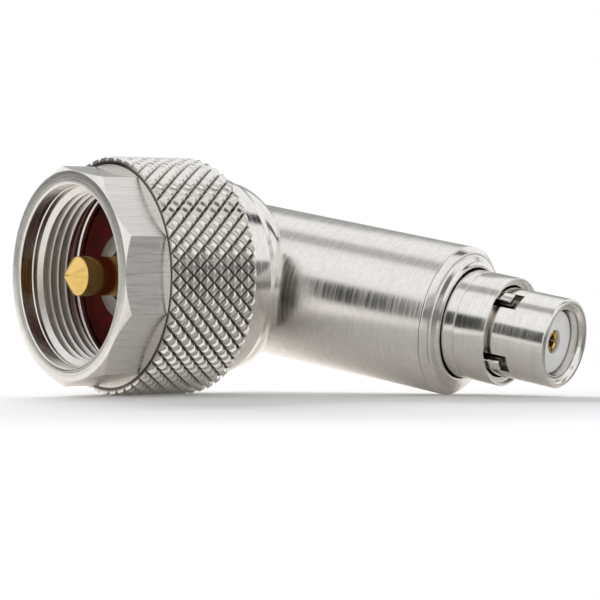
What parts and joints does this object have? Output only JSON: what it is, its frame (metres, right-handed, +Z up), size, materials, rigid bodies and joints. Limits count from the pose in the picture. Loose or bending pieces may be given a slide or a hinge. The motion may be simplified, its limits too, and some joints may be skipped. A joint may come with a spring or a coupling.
{
  "type": "elbow coax adapter",
  "caption": "Angled coaxial adapter: threaded plug with knurled coupling nut on one arm, small snap-in socket with a sliding release collar on the other.",
  "frame": {"origin": "middle of the bounding box, on the floor it lies on", "axes": "+Z up; -X out of the threaded plug; the socket's arm points towards -Y, turned 20 degrees towards +X and drooping to the floor"},
  "size_m": [0.0644, 0.0774, 0.0388],
  "materials": {
    "nickel": "turned and nickel plated, bright",
    "satin_nickel": "brushed round and nickel plated, satin",
    "gold": "gold plated, polished",
    "red_seal": "matte dark red",
    "black_seal": "matte black",
    "insulator": "white, slightly waxy",
    "spring_steel": "plain spring steel"
  },
  "bodies": {
    "adapter_body": {"nut_snap_ring": "spring_steel", "nut_seal_ring": "black_seal", "plug_gasket": "red_seal", "plug_outer_contact": "nickel", "plug_insulator": "insulator", "plug_centre_pin": "gold", "elbow_body": "satin_nickel", "elbow_access_cap": "satin_nickel", "elbow_conductor_block": "gold", "conductor_screw": "gold", "barrel_inner_conductor": "gold", "barrel_support_bead": "insulator", "barrel_end_ring": "nickel", "shell_seal_washer": "black_seal", "socket_shell": "nickel", "collar_return_spring": "spring_steel", "socket_insulator": "insulator", "socket_rear_bead": "insulator", "socket_centre_contact": "gold"},
    "coupling_nut_body": {"coupling_nut": "nickel"},
    "release_collar_body": {"release_collar": "nickel"}
  },
  "joints": [
    {"name": "nut_spin", "type": "hinge", "parent": "adapter_body", "child": "coupling_nut_body", "pos_m": [0.00502, 0.01928, 0.0194], "axis": [-1, 0, 0], "continuous": true},
    {"name": "collar_slide", "type": "slide", "parent": "adapter_body", "child": "release_collar_body", "axis": [0.342, -0.9212, -0.1854], "range_m": [-0.0008, 0], "stiffness_N_per_m": 4000}
  ]
}
